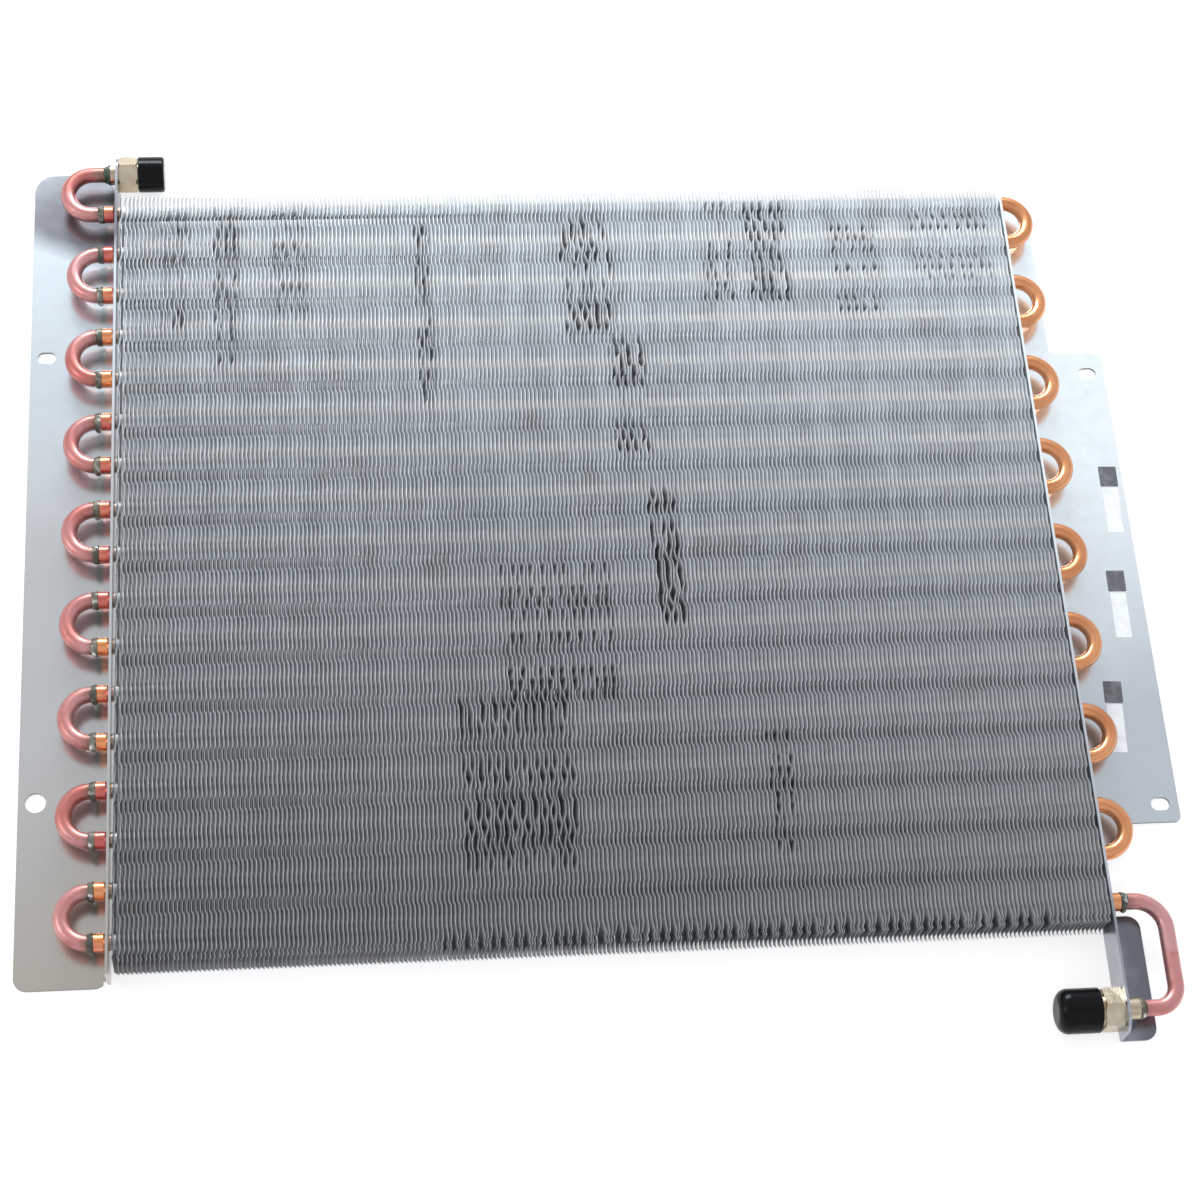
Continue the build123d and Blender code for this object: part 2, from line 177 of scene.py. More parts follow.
def fin_material():
    """Satin aluminium: streaks, grime, a stain at the lower left, painted highlight in rows at the
    tubes, painted shade towards the bottom and where bent fins open gaps.
    """
    s = Shade("fin_aluminium", (0.80, 0.83, 0.86), 0.35, 0.42)
    streak = s.noise(9, 4, 0.6, s.scaled(14, 1.2, 3))
    grime = s.noise(26, 5, 0.6)
    dust = s.noise(4.5, 3)
    base = s.mix(s.span(streak, 0.35, 0.7), (0.88, 0.91, 0.94), (0.74, 0.77, 0.80))
    base = s.mix(s.span(grime, 0.55, 0.8, 0.0, 0.8), base, (0.55, 0.54, 0.53))
    left = s.span(s.axis("X"), -0.298, -0.262, 0.55, 0.0)
    low = s.span(s.axis("Y"), -0.24, 0.16, 1.0, 0.0)
    stain = s.math("MULTIPLY", s.math("MULTIPLY", left, low), s.span(dust, 0.35, 0.6))
    base = s.mix(stain, base, (0.58, 0.48, 0.36))
    # Painted highlight: the fins near-white in a narrow row at each tube.
    between_rows = rows[-1] + 10.5 * tube_pitch
    row = s.math("DIVIDE", s.math("SUBTRACT", s.axis("Y"), between_rows), tube_pitch)
    beside = s.math("ABSOLUTE", s.math("SUBTRACT", s.math("FLOORED_MODULO", row, 1.0), 0.5))
    base = s.mix(s.span(beside, 0.07, 0.13), (0.97, 0.965, 0.955), base)
    # Painted shade: the fins darker towards the bottom.
    painted_lower_shade = s.span(s.axis("Y"), 0.22, -0.25, 0.0, 0.8)
    base = s.mix(painted_lower_shade, base, (0.34, 0.34, 0.345))
    # Painted shade: near-black where bent fins open a gap between them.
    gap = s.add("ShaderNodeAttribute", attribute_name="gap")
    base = s.mix(s.span(gap.outputs["Fac"], 0.1, 0.9, 0.0, 0.93), base, (0.05, 0.055, 0.06))
    s.colour(base)
    s.roughness(s.span(grime, 0.3, 0.75, 0.34, 0.52))
    s.bump(s.noise(420, 2), 0.00006, 0.5)
    return s.material


def collar_material():
    s = Shade("collar_aluminium", (0.86, 0.88, 0.90), 0.85, 0.55)
    grime = s.noise(30, 4)
    warm = s.noise(7, 3)
    base = s.mix(s.span(warm, 0.4, 0.65), (0.95, 0.97, 0.98), (0.93, 0.91, 0.88))
    base = s.mix(s.span(grime, 0.58, 0.8, 0.0, 0.7), base, (0.60, 0.57, 0.53))
    # Painted shade: the collars darker towards the bottom.
    base = s.mix(s.span(s.axis("Y"), 0.20, -0.25, 0.0, 0.35), base, (0.50, 0.49, 0.48))
    s.colour(base)
    s.roughness(s.span(grime, 0.3, 0.7, 0.5, 0.62))
    s.bump(s.noise(300, 2), 0.0001, 0.4)
    return s.material


def plate_material():
    """Rolled sheet: painted shade darkens its upper corner, its edges and the tab; painted reflection
    makes the ear pale and the lower end warm.
    """
    s = Shade("plate_sheet", (0.72, 0.73, 0.74), 0.9, 0.3)
    cloud = s.noise(5, 4)
    spangle = s.noise(95, 3, 0.55)
    roll = s.noise(60, 4, 0.6, s.scaled(0.25, 9, 1))
    scratch = s.noise(70, 5, 0.7, s.scaled(0.5, 11, 1), 0.6)
    height = s.math("ADD", s.axis("Y"), s.span(cloud, 0.3, 0.7, -0.02, 0.02))
    # Painted reflection: the flange pale and bluish high up, grey in the middle and warm lower down.
    flange = s.mix(s.span(height, 0.20, 0.02), (0.63, 0.69, 0.73), (0.58, 0.585, 0.59))
    flange = s.mix(s.span(height, -0.10, -0.27), flange, (0.52, 0.485, 0.43))
    # Painted shade: a darker grey corner at the top of the flange, darkest at the very top.
    slope = s.math("ADD", height, s.math("MULTIPLY", s.axis("X"), 0.55))
    patch = s.noise(17, 3, 0.5)
    grey = s.mix(s.span(patch, 0.4, 0.65), (0.31, 0.32, 0.35), (0.18, 0.18, 0.21))
    grey = s.mix(s.span(height, 0.29, 0.27, 0.0, 0.6), grey, (0.20, 0.20, 0.23))
    flange = s.mix(s.span(slope, 0.062, 0.082), flange, grey)
    # Painted reflection: the ear near-white and bluish at the top, grey lower down.
    ear = s.mix(s.span(height, 0.09, -0.10), (0.93, 0.98, 1.0), (0.57, 0.61, 0.65))
    base = s.mix(s.span(s.axis("X"), -0.01, 0.01), flange, ear)
    base = s.mix(s.span(spangle, 0.4, 0.75, 0.0, 0.15), base, (0.50, 0.51, 0.52))
    base = s.mix(s.span(scratch, 0.70, 0.76, 0.0, 0.07), base, (0.80, 0.81, 0.82))
    # Painted shade: near-black on the upright edges and slot walls of flange and ear.
    facing = s.add("ShaderNodeSeparateXYZ")
    s.join(s.facing, facing.inputs[0])
    upright = s.span(s.math("ABSOLUTE", facing.outputs["Z"]), 0.5, 0.3)
    on_flange = s.span(s.axis("X"), -0.304, -0.306)
    on_ear = s.span(s.axis("X"), 0.300, 0.302)
    beside = s.math("MAXIMUM", on_flange, on_ear)
    base = s.mix(s.math("MULTIPLY", upright, beside), base, (0.10, 0.095, 0.085))
    # Painted shade: the tab below the core dark grey.
    tab = s.math("MULTIPLY", s.span(s.axis("X"), 0.29, 0.30), s.span(s.axis("Y"), -0.226, -0.24))
    base = s.mix(tab, base, s.mix(s.span(patch, 0.4, 0.6), (0.36, 0.38, 0.43), (0.17, 0.18, 0.21)))
    s.colour(base)
    uneven = s.span(roll, 0.3, 0.7, 0.0, 0.015)
    s.roughness(s.math("ADD", s.span(cloud, 0.3, 0.7, 0.19, 0.27), uneven))
    s.bump(roll, 0.00008, 0.02)
    s.bump(s.noise(6, 2), 0.004, 0.2)
    return s.material


def copper_material():
    s = Shade("copper_tube", (0.80, 0.42, 0.24), 1.0, 0.26)
    mottle = s.noise(38, 4, 0.55)
    fine = s.noise(160, 4, 0.6)
    base = s.mix(s.span(mottle, 0.35, 0.7), (0.80, 0.36, 0.17), (0.60, 0.24, 0.11))
    base = s.mix(s.span(fine, 0.6, 0.8, 0.0, 0.4), base, (0.36, 0.17, 0.10))
    heat = s.span(s.axis("X"), left_face + 0.004, left_face - 0.002)
    blush = s.noise(24, 2)
    hot = s.mix(s.span(blush, 0.42, 0.58), (0.84, 0.33, 0.15), (0.60, 0.15, 0.14))
    base = s.mix(heat, base, hot)
    s.colour(base)
    s.roughness(s.span(mottle, 0.3, 0.7, 0.2, 0.36))
    s.bump(fine, 0.00012, 0.2)
    return s.material


def brazed_copper_material():
    """Pinkish copper that went through the flame, scorched beside its joints."""
    s = Shade("brazed_copper", (0.72, 0.32, 0.26), 0.85, 0.36)
    patch = s.noise(16, 3, 0.5)
    mottle = s.noise(60, 4, 0.6)
    fine = s.noise(240, 3, 0.6)
    base = s.mix(s.span(patch, 0.38, 0.62), (0.52, 0.165, 0.145), (0.63, 0.32, 0.31))
    base = s.mix(s.span(mottle, 0.5, 0.72, 0.0, 0.6), base, (0.42, 0.12, 0.09))
    base = s.mix(s.span(fine, 0.58, 0.8, 0.0, 0.45), base, (0.36, 0.15, 0.12))
    reach = s.math("ADD", s.axis("X"), s.span(mottle, 0.3, 0.7, -0.0025, 0.0025))
    scorch_left = s.span(reach, left_mouth - 0.0075, left_mouth - 0.0015, 0.0, 0.8)
    scorch_right = s.span(reach, right_mouth + 0.009, right_mouth + 0.002, 0.0, 0.8)
    side = s.span(s.axis("X"), -0.0005, 0.0005)
    scorch = s.mix(side, scorch_left, scorch_right)
    base = s.mix(scorch, base, (0.17, 0.13, 0.10))
    s.colour(base)
    s.roughness(s.span(mottle, 0.3, 0.7, 0.28, 0.5))
    s.bump(mottle, 0.0003, 0.25)
    s.bump(fine, 0.00008, 0.3)
    return s.material


def solder_material():
    s = Shade("solder", (0.30, 0.28, 0.25), 0.8, 0.38)
    spots = s.noise(190, 3, 0.55)
    crust = s.noise(95, 5, 0.65)
    base = s.mix(s.span(crust, 0.4, 0.62), (0.09, 0.085, 0.07), (0.26, 0.24, 0.20))
    base = s.mix(s.span(spots, 0.58, 0.66), base, (0.80, 0.79, 0.76))
    top = s.span(s.axis("Y"), rows[0] + 0.012, rows[0] + 0.022)
    on_right = s.span(s.axis("X"), 0.0, 0.001)
    low_pipe = s.math("MULTIPLY", on_right, s.span(s.axis("Y"), -0.27, -0.25))
    green = s.math("MULTIPLY", s.math("MAXIMUM", top, low_pipe), s.span(crust, 0.42, 0.55))
    base = s.mix(green, base, (0.05, 0.085, 0.06))
    s.colour(base)
    s.roughness(s.span(spots, 0.4, 0.66, 0.55, 0.2))
    s.bump(crust, 0.0006, 0.6)
    return s.material


def brass_material():
    s = Shade("fitting_brass", (0.74, 0.66, 0.50), 1.0, 0.25)
    cloud = s.noise(90, 3)
    turn = s.noise(220, 3, 0.6, s.scaled(6, 0.6, 0.6))
    stain = s.noise(150, 4, 0.65)
    base = s.mix(s.span(cloud, 0.35, 0.65), (0.62, 0.53, 0.41), (0.50, 0.40, 0.29))
    base = s.mix(s.span(stain, 0.6, 0.8, 0.0, 0.5), base, (0.45, 0.36, 0.24))
    s.colour(base)
    s.roughness(s.span(turn, 0.3, 0.7, 0.18, 0.34))
    s.bump(turn, 0.00003, 0.3)
    return s.material


def cap_material():
    s = Shade("black_cap", (0.016, 0.016, 0.017), 0.0, 0.22)
    grain = s.noise(320, 3, 0.6)
    dust = s.noise(120, 4, 0.6)
    base = s.mix(s.span(dust, 0.55, 0.85, 0.0, 0.3), (0.004, 0.004, 0.0045), (0.02, 0.019, 0.018))
    s.colour(base)
    s.roughness(s.span(grain, 0.3, 0.7, 0.14, 0.22))
    s.bump(grain, 0.00003, 0.4)
    s.surface.inputs["Specular IOR Level"].default_value = 0.12
    return s.material


def paper_material(name, colour, shade):
    s = Shade(name, colour, 0.0, 0.45)
    wear = s.noise(160, 4, 0.6)
    s.colour(s.mix(s.span(wear, 0.45, 0.75), colour, shade))
    s.roughness(s.span(wear, 0.3, 0.7, 0.35, 0.55))
    s.bump(wear, 0.00005, 0.4)
    return s.material


fins_look = fin_material()
collar_look = collar_material()
plate_look = plate_material()
copper_look = copper_material()
brazed_look = brazed_copper_material()
solder_look = solder_material()
brass_look = brass_material()
cap_look = cap_material()
white_label = paper_material("label_white", (0.80, 0.81, 0.82), (0.66, 0.67, 0.68))
dark_label = paper_material("label_dark", (0.10, 0.10, 0.11), (0.20, 0.20, 0.21))


# Mesh helpers
def joined(parts):
    """The points and faces of several parts as one mesh."""
    points, faces = [], []
    for part_points, part_faces in parts:
        shift = len(points)
        points += part_points
        faces += [tuple(v + shift for v in face) for face in part_faces]
    return points, faces


def piece(name, points, faces, look, smooth=False):
    mesh = bpy.data.meshes.new(name)
    mesh.from_pydata([tuple(p) for p in points], [], [tuple(f) for f in faces])
    mesh.validate()
    if smooth:
        mesh.shade_smooth()
    mesh.materials.append(look)
    made = bpy.data.objects.new(name, mesh)
    bpy.context.scene.collection.objects.link(made)
    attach(made, "root")
    return made


def repaint(node, look):
    mesh = nodes[node].data
    mesh.materials.clear()
    mesh.materials.append(look)


for name in nodes:
    if name.startswith("hairpin") or name == "straight_tube":
        repaint(name, copper_look)
    elif name.startswith("return_bend_b") or name.endswith("braze"):
        repaint(name, solder_look)
    elif name.startswith("return_bend") or name in ("inlet_bend", "outlet_pipe"):
        repaint(name, brazed_look)
    elif name.endswith("plate"):
        repaint(name, plate_look)
    elif name.endswith("fitting"):
        repaint(name, brass_look)
    elif name.endswith("cap"):
        repaint(name, cap_look)

# Fins: how deep the fold and the flat middle lie behind the front edge, and the same at the back
ripple_step = 3.4 * MM
ripple_depth = 7.0 * MM
back_ripple_depth = 5.5 * MM
slant = 0.4 * MM
back_turn = 1.1 * MM

# Ripple rows, four to each tube, and the holes
quarter = tube_pitch / 4
flat_half = 2.7 * MM
hole_radius = tube_radius + 0.24 * MM
hole_sides = 10

# Bent and ragged edges, with the height of one bent cell in millimetres
fold_lean = 0.45
cell_height = 7.94
edge_scatter = 0.10 * MM
first_fin_lean = 1.2 * MM
most_lean = 1.5 * MM
bent_pull = 0.35
ragged_pull = 0.5

# How far a fin stands to one side, in millimetres: at its front edge, at the fold behind it, at the
# start of its flat middle and at its back edge. Three ripples lie between two tubes.
tube_shape = (0.6, -0.7, -2.0, 0.0)
outward_shape = (0.9, -0.3, -1.1, 0.25)
inward_shape = (-0.3, -1.0, -1.6, -0.25)
ripple_shapes = (tube_shape, outward_shape, inward_shape, outward_shape)
bottom_shape = (0.3, -0.4, -1.1, 0.0)
top_shape = (1.2, -1.0, -1.7, 0.0)


def ripple_levels():
    """Heights at which a fin's rippled edge turns, each with the fin's shape there."""
    levels = [(fin_low.y, bottom_shape)]
    first = rows[-1] - 4 * quarter
    for k in range(4 * len(rows) + 8):
        middle = first + k * quarter
        for y in (middle - flat_half, middle + flat_half):
            if fin_low.y + 1 * MM < y < fin_high.y - 1 * MM:
                levels.append((y, ripple_shapes[k % 4]))
    levels.append((fin_high.y, top_shape))
    return levels


levels = ripple_levels()
level_y = np.array([y for y, _ in levels])
level_front, level_fold, level_flat, level_back = np.array([shape for _, shape in levels]).T * MM

# Patches of bent fins: left, right, bottom and top in millimetres
bent = (
    (-272, -253, 178, 258),
    (-240, -220, 150, 262),
    (-201, -174, 181, 272),
    (-107, -93, 119, 250),
    (-10, 28, 169, 270),
    (86, 113, 191, 264),
    (116, 147, 190, 268),
    (174, 208, 181, 258),
    (231, 286, 205, 266),
    (18, 44, 71, 166),
    (35, 57, -43, 46),
    (-63, 12, -95, 0),
    (-92, -20, -204, -94),
    (96, 115, -198, -113),
)


def soft_window(value, low, high, edge):
    """1 between low and high, falling to 0 over the edge at both ends."""
    up = np.clip((value - low) / edge, 0, 1)
    down = np.clip((high - value) / edge, 0, 1)
    return np.minimum(up, down)


def clump(places, pull, sizes):
    """How far each fin moves when neighbours lean together, and where a gap opens beside it."""
    moved = np.zeros(len(places))
    opened = np.zeros(len(places))
    start = 0
    while start < len(places):
        count = draw.choice(sizes)
        group = places[start : start + count]
        moved[start : start + count] = (group.mean() - group) * pull
        opened[start] = 1.0 if count > 1 else 0.0
        start += count
    return moved, opened


def edge_lean():
    """Sideways move of every fin's front edge at every level, and the gaps that it opens."""
    x = fin_low.x + np.arange(fin_count) * fin_pitch
    spread = np.array([draw.uniform(-1, 1) for _ in range(fin_count)])
    lean = np.tile(spread[:, None] * edge_scatter, (1, len(levels)))
    # Where a gap opens, which the fins' material paints dark as painted shade.
    gap = np.zeros((fin_count, len(levels)))
    for left, right, bottom, top in bent:
        across = soft_window(x, left * MM, right * MM, 3 * MM)
        for cell in range(int((top - bottom) / cell_height) + 1):
            y0 = (bottom + cell * cell_height) * MM
            up = soft_window(level_y, y0, y0 + cell_height * MM, 1.5 * MM)
            strength = draw.choice((0.3, 0.8, 1.0, 1.0))
            move, opened = clump(x, bent_pull, (1, 2, 2, 3))
            area = across[:, None] * up[None, :] * strength
            lean += area * move[:, None]
            gap = np.maximum(gap, area * opened[:, None])
    tail = soft_window(level_y, fin_low.y - 9 * MM, rows[-1] - 7 * MM, 5 * MM)
    ragged = soft_window(x, -0.115, 0.27, 12 * MM) * 0.75 + 0.25
    move, opened = clump(x, ragged_pull, (1, 2, 2, 3, 3, 4))
    area = tail[None, :] * ragged[:, None]
    lean += area * move[:, None]
    gap = np.maximum(gap, area * opened[:, None])
    lean[0] -= first_fin_lean
    return np.clip(lean, -most_lean, most_lean), gap


def flat_part(front, back):
    """Triangles of the flat middle of a fin, with a hole for each tube, as points (y, z)."""
    outline = [(y, back) for y in level_y] + [(y, front) for y in level_y[::-1]]
    loops = [outline]
    for row in rows:
        loops.append(
            [
                (
                    row + hole_radius * math.cos(2 * math.pi * k / hole_sides),
                    tube_z + hole_radius * math.sin(2 * math.pi * k / hole_sides),
                )
                for k in range(hole_sides)
            ]
        )
    points = [p for loop in loops for p in loop]
    triangles = tessellate_polygon([[Vector((y, z, 0)) for y, z in loop] for loop in loops])
    return points, triangles


def build_fins():
    """Nine pieces of 25 fins, each fin a thin closed sheet with a rippled front edge."""
    count = len(levels)
    front_flat = fin_high.z - ripple_depth
    back_flat = fin_low.z + back_ripple_depth
    flat_points, flat_triangles = flat_part(front_flat, back_flat)
    flat = np.array(flat_points)
    lean, gap = edge_lean()
    set_back = np.full(len(flat), outward_shape[2] * MM)
    set_back[count : 2 * count] = level_flat[::-1]
    back_lean = np.array([draw.uniform(-0.12, 0.12) * MM for _ in range(fin_count)])

    # One side of a fin: the flat middle, the front edge, the fold behind it and the back edge
    side_count = len(flat) + 3 * count
    front = len(flat)
    fold = front + count
    back = fold + count

    def upper(j):
        """The flat middle's front point at level j, because its outline runs back along the front."""
        return 2 * count - 1 - j

    side_faces = [tuple(t) for t in flat_triangles]
    for j in range(count - 1):
        side_faces.append((upper(j), upper(j + 1), fold + j + 1, fold + j))
        side_faces.append((fold + j, fold + j + 1, front + j + 1, front + j))
        side_faces.append((j, back + j, back + j + 1, j + 1))
    # The rim joins the two sides along both edges, both ends and round every hole
    rim_faces = []
    for start, turn in ((front, 1), (back, -1)):
        for j in range(count - 1):
            a, b = (start + j, start + j + 1)[::turn]
            rim_faces.append((a, b, b + side_count, a + side_count))
    for a, b in ((back, 0), (0, upper(0)), (upper(0), fold), (fold, front)):
        rim_faces.append((a, b, b + side_count, a + side_count))
    top = count - 1
    for a, b in (
        (front + top, fold + top),
        (fold + top, upper(top)),
        (upper(top), top),
        (top, back + top),
    ):
        rim_faces.append((a, b, b + side_count, a + side_count))
    for hole in range(len(rows)):
        start = 2 * count + hole * hole_sides
        for k in range(hole_sides):
            a, b = start + k, start + (k + 1) % hole_sides
            rim_faces.append((a, a + side_count, b + side_count, b))
    one_fin = (
        side_faces
        + [tuple(v + side_count for v in reversed(f)) for f in side_faces]
        + rim_faces
    )

    per_piece = 25
    for first in range(0, fin_count, per_piece):
        points, faces, dark = [], [], []
        for fin in range(first, min(first + per_piece, fin_count)):
            x0 = fin_low.x + fin * fin_pitch
            for thick in (0.0, fin_thickness):
                depth = (front_flat - flat[:, 1]) / (front_flat - back_flat)
                middle = np.column_stack([x0 + thick + set_back - slant * depth, flat])
                edge_x = x0 + thick + level_front + lean[fin]
                fore = np.column_stack([edge_x, level_y, np.full(count, fin_high.z)])
                fold_x = x0 + thick + level_fold + lean[fin] * fold_lean
                fold_z = np.full(count, fin_high.z - ripple_step)
                folded = np.column_stack([fold_x, level_y, fold_z])
                back_x = x0 + thick + back_turn + level_back + back_lean[fin]
                aft = np.column_stack([back_x, level_y, np.full(count, fin_low.z)])
                points.append(np.vstack([middle, fore, folded, aft]))
                # Painted shade: how dark each point is painted where bent fins open a gap.
                at_holes = np.zeros(len(flat) - 2 * count)
                at_back = np.zeros(count)
                deep = gap[fin]
                dark += [at_back, deep[::-1], at_holes, deep * 0.35, deep, at_back]
            shift = (fin - first) * 2 * side_count
            faces += [tuple(v + shift for v in f) for f in one_fin]
        points = np.vstack(points)
        points[:, 0] = np.clip(points[:, 0], left_high.x + 0.2 * MM, right_low.x - 0.2 * MM)
        made = piece(f"fins_{first // per_piece + 1}", points, faces, fins_look)
        attribute = made.data.attributes.new("gap", "FLOAT", "POINT")
        attribute.data.foreach_set("value", np.concatenate(dark).astype(np.float32))
        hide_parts("fin_pack")


build_fins()


def tube_shell(centre_y, x0, x1, inner, outer, sides=24):
    """A straight thin-walled tube along x, closed at its two ends."""
    points, faces = [], []
    for x, radius in ((x0, outer), (x1, outer), (x1, inner), (x0, inner)):
        for k in range(sides):
            a = 2 * math.pi * k / sides
            points.append((x, centre_y + radius * math.cos(a), tube_z + radius * math.sin(a)))
    for ring in range(4):
        for k in range(sides):
            a, b = ring * sides + k, ring * sides + (k + 1) % sides
            c, d = ((ring + 1) % 4) * sides + k, ((ring + 1) % 4) * sides + (k + 1) % sides
            faces.append((a, c, d, b))
    return points, faces


def build_collars():
    """The fins' collars, which cover each tube from plate to plate."""
    start = left_high.x + 0.3 * MM
    end = right_low.x - 0.3 * MM
    inner = tube_radius + 0.03 * MM
    outer = tube_radius + 0.2 * MM
    points, faces = joined(tube_shell(row, start, end, inner, outer) for row in rows)
    piece("fin_collars", points, faces, collar_look)


build_collars()


# Solder
def solder_ring(x, outward, y, wide, narrow, sides=40, around=10):
    """A lumpy fillet round a pipe at the mouth it enters, with a hanging drip."""
    points, faces = [], []
    phase = [draw.uniform(0, 2 * math.pi) for _ in range(4)]
    drip = draw.uniform(0.5, 1.5) * MM
    drip_at = -math.pi / 2 + draw.uniform(-0.5, 0.3)
    for k in range(sides):
        a = 2 * math.pi * k / sides
        lump = (
            0.25 * math.sin(2 * a + phase[0])
            + 0.2 * math.sin(3 * a + phase[1])
            + 0.12 * math.sin(7 * a + phase[2])
        )
        from_drip = math.atan2(math.sin(a - drip_at), math.cos(a - drip_at))
        hang = drip * math.exp(-((from_drip / 0.22) ** 2))
        length = 3.2 * MM * (1 + 0.35 * lump)
        swell = 0.75 * MM * (1 + 0.5 * lump)
        for j in range(around):
            t = j / (around - 1)
            along = -0.9 * MM + t * (length + 0.9 * MM)
            floor = wide + (narrow - wide) * min(1, max(0, (along + 0.2 * MM) / (1.2 * MM)))
            radius = floor + 0.02 * MM + (swell + hang) * math.sin(math.pi * t) ** 0.8
            points.append(
                (x + outward * along, y + radius * math.sin(a), tube_z + radius * math.cos(a))
            )
    inner = len(points)
    for k in range(sides):
        a = 2 * math.pi * k / sides
        for along, radius in ((3.0 * MM, narrow - 0.1 * MM), (-0.9 * MM, narrow - 0.1 * MM)):
            points.append(
                (x + outward * along, y + radius * math.sin(a), tube_z + radius * math.cos(a))
            )
    for k in range(sides):
        m = (k + 1) % sides
        for j in range(around - 1):
            faces.append((k * around + j, k * around + j + 1, m * around + j + 1, m * around + j))
        end, start = inner + 2 * k, inner + 2 * k + 1
        next_end, next_start = inner + 2 * m, inner + 2 * m + 1
        faces.append((k * around + around - 1, end, next_end, m * around + around - 1))
        faces.append((end, start, next_start, next_end))
        faces.append((start, k * around, m * around, next_start))
    if outward > 0:
        faces = [tuple(reversed(f)) for f in faces]
    return points, faces


def build_solder(name, joints, *replaced):
    """One piece of solder rings, in place of the named solid."""
    points, faces = joined(solder_ring(*joint) for joint in joints)
    made = piece(name, points, faces, solder_look, smooth=True)
    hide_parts(*replaced)


inlet_low, inlet_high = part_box("inlet_cap")
outlet_low, outlet_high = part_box("outlet_cap")
inlet_y = (inlet_low.y + inlet_high.y) / 2
outlet_y = (outlet_low.y + outlet_high.y) / 2
inlet_fit_low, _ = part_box("inlet_fitting")
_, outlet_fit_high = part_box("outlet_fitting")

build_solder(
    "solder_left",
    [(left_mouth, -1, y, cup_radius, bend_radius) for y in rows],
    "return_bend_brazes",
)
build_solder(
    "solder_inlet",
    [(inlet_fit_low.x, -1, inlet_y, shank_radius, bend_radius)],
    "inlet_braze",
)
build_solder(
    "solder_outlet_top",
    [(right_mouth, 1, rows[-1], cup_radius, bend_radius)],
    "outlet_pipe_braze",
)
build_solder(
    "solder_outlet_bottom",
    [(outlet_fit_high.x, 1, outlet_y, shank_radius, bend_radius)],
    "outlet_fitting_braze",
)


# Blank labels on the ear
def label(name, corners, look, lift):
    """A thin sticker on the ear, with slightly rounded corners."""
    z0 = plate_thickness + 0.01 * MM
    z1 = z0 + lift
    ring = []
    count = len(corners)
    for i, (x, y) in enumerate(corners):
        before = Vector(corners[i - 1])
        here = Vector((x, y))
        after = Vector(corners[(i + 1) % count])
        for t in (0.0, 0.5, 1.0):
            a = here + (before - here).normalized() * 0.8
            b = here + (after - here).normalized() * 0.8
            p = a.lerp(here, t).lerp(here.lerp(b, t), t)
            ring.append(p)
    points = [(p.x * MM, p.y * MM, z0) for p in ring] + [(p.x * MM, p.y * MM, z1) for p in ring]
    n = len(ring)
    faces = [tuple(range(n))[::-1], tuple(range(n, 2 * n))]
    faces += [(k, (k + 1) % n, n + (k + 1) % n, n + k) for k in range(n)]
    piece(name, points, faces, look)


# Centre of each square in millimetres, its turn in radians and the length of the strip below it
for n, (x, y, turn, length) in enumerate(
    ((348.5, 65.2, -0.02, 33.0), (341.9, -11.7, -0.02, 32.0), (327.6, -90.1, -0.05, 33.0))
):
    spin = Matrix.Rotation(turn, 2)
    for part, half_x, top, bottom, look in (
        ("square", 6.0, 7.5, -7.5, dark_label),
        ("strip", 5.2, -8.4, -8.4 - length, white_label),
    ):
        corners = []
        for cx, cy in ((-half_x, bottom), (half_x, bottom), (half_x, top), (-half_x, top)):
            p = spin @ Vector((cx, cy))
            corners.append((x + p.x, y + p.y))
        label(f"label_{part}_{n + 1}", corners, look, 0.08 * MM)


# Stage, light and camera
def stage_floor():
    """A matt floor that camera, mirror and glass rays see as white, and that keeps its shadows."""
    half = 12.0
    glow_strength = 0.68
    mesh = bpy.data.meshes.new("floor")
    mesh.from_pydata(
        [(-half, -half, 0), (half, -half, 0), (half, half, 0), (-half, half, 0)], [], [(0, 1, 2, 3)]
    )
    floor = bpy.data.objects.new("floor", mesh)
    bpy.context.scene.collection.objects.link(floor)
    floor.location.z = -0.0004
    material = bpy.data.materials.new("floor")
    material.use_nodes = True
    tree = material.node_tree
    surface = tree.nodes["Principled BSDF"]
    surface.inputs["Base Color"].default_value = (0.50, 0.50, 0.50, 1)
    surface.inputs["Roughness"].default_value = 0.9
    surface.inputs["Specular IOR Level"].default_value = 0.0
    glow = tree.nodes.new("ShaderNodeEmission")
    path = tree.nodes.new("ShaderNodeLightPath")
    camera_or_glossy = tree.nodes.new("ShaderNodeMath")
    camera_or_glossy.operation = "MAXIMUM"
    any_sight = tree.nodes.new("ShaderNodeMath")
    any_sight.operation = "MAXIMUM"
    scale = tree.nodes.new("ShaderNodeMath")
    scale.operation = "MULTIPLY"
    scale.inputs[1].default_value = glow_strength
    both = tree.nodes.new("ShaderNodeAddShader")
    tree.links.new(path.outputs["Is Camera Ray"], camera_or_glossy.inputs[0])
    tree.links.new(path.outputs["Is Glossy Ray"], camera_or_glossy.inputs[1])
    tree.links.new(camera_or_glossy.outputs[0], any_sight.inputs[0])
    tree.links.new(path.outputs["Is Transmission Ray"], any_sight.inputs[1])
    tree.links.new(any_sight.outputs[0], scale.inputs[0])
    tree.links.new(scale.outputs[0], glow.inputs["Strength"])
    tree.links.new(surface.outputs[0], both.inputs[0])
    tree.links.new(glow.outputs[0], both.inputs[1])
    tree.links.new(both.outputs[0], tree.nodes["Material Output"].inputs["Surface"])
    mesh.materials.append(material)


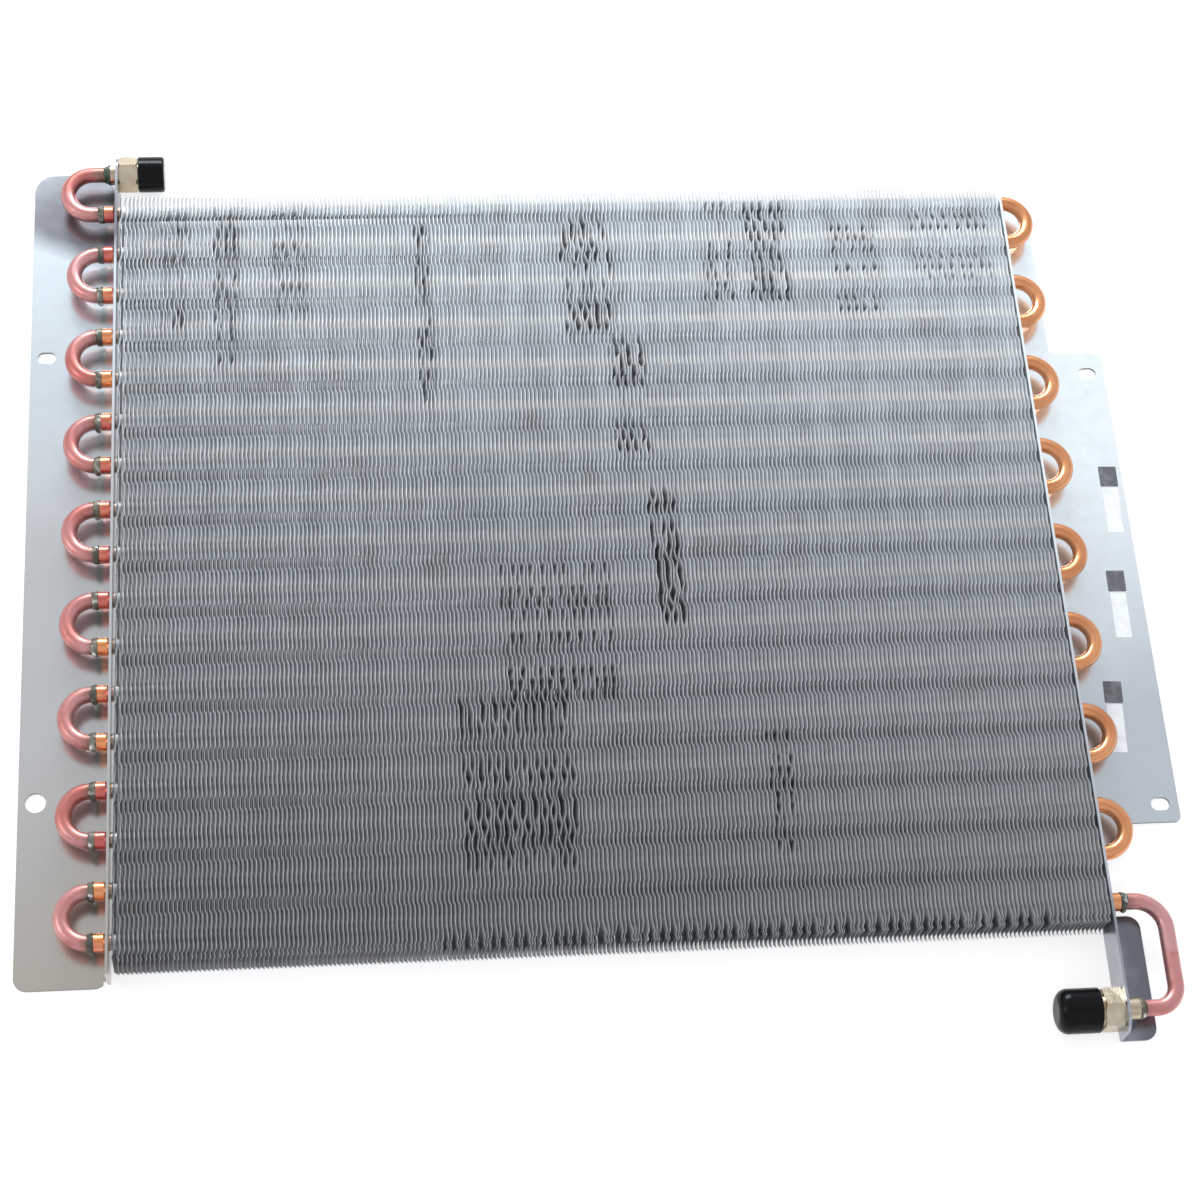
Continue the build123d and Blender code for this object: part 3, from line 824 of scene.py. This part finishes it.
def room_light():
    """A pale room, cool above the horizon, dimmer and warmer straight overhead."""
    world = bpy.data.worlds.new("room")
    bpy.context.scene.world = world
    world.use_nodes = True
    tree = world.node_tree
    back = tree.nodes["Background"]
    place = tree.nodes.new("ShaderNodeTexCoord")
    parts = tree.nodes.new("ShaderNodeSeparateXYZ")
    tree.links.new(place.outputs["Generated"], parts.inputs[0])
    ramp = tree.nodes.new("ShaderNodeValToRGB")
    bands = ramp.color_ramp.elements
    for at, colour in (
        (0.55, (0.86, 0.93, 1.0, 1)),
        (0.82, (1.04, 1.09, 1.15, 1)),
        (0.90, (0.84, 0.86, 0.90, 1)),
    ):
        bands.new(at).color = colour
    bands[0].color = (0.80, 0.86, 0.92, 1)
    bands[len(bands) - 1].color = (0.74, 0.71, 0.68, 1)
    tree.links.new(parts.outputs["Z"], ramp.inputs[0])
    tree.links.new(ramp.outputs[0], back.inputs["Color"])
    back.inputs["Strength"].default_value = 0.9


def lamp(name, place, target, width, height, power, colour):
    data = bpy.data.lights.new(name, "AREA")
    data.shape = "RECTANGLE"
    data.size = width
    data.size_y = height
    data.energy = power
    data.color = colour
    made = bpy.data.objects.new(name, data)
    made.location = place
    made.rotation_euler = (Vector(target) - Vector(place)).to_track_quat("-Z", "Y").to_euler()
    bpy.context.scene.collection.objects.link(made)


def photo_camera():
    """The photograph's camera, with its focal length in pixels of the photograph's frame."""
    focal_length = 2609.7
    frame_width = 1200
    tilt, lean, roll = (math.radians(angle) for angle in (25.399, -5.799, -1.583))
    data = bpy.data.cameras.new("camera")
    data.sensor_fit = "HORIZONTAL"
    data.sensor_width = 36
    data.lens = focal_length / frame_width * data.sensor_width
    camera = bpy.data.objects.new("camera", data)
    turn = (
        Matrix.Rotation(tilt, 4, "X")
        @ Matrix.Rotation(lean, 4, "Y")
        @ Matrix.Rotation(roll, 4, "Z")
    )
    camera.matrix_world = Matrix.Translation((-0.16421, -0.72498, 1.49661)) @ turn
    bpy.context.scene.collection.objects.link(camera)
    bpy.context.scene.camera = camera


stage_floor()
room_light()
# Lamp places and sizes in metres, power in watts
lamp("window", (-0.05, 1.5, 0.85), (0, 0.12, 0), 1.3, 0.5, 32, (0.92, 0.97, 1.0))
lamp("side", (-1.8, -0.2, 1.0), (0, 0, 0), 0.8, 0.8, 6, (1.0, 0.98, 0.95))
photo_camera()
bpy.context.scene.view_settings.view_transform = "Standard"
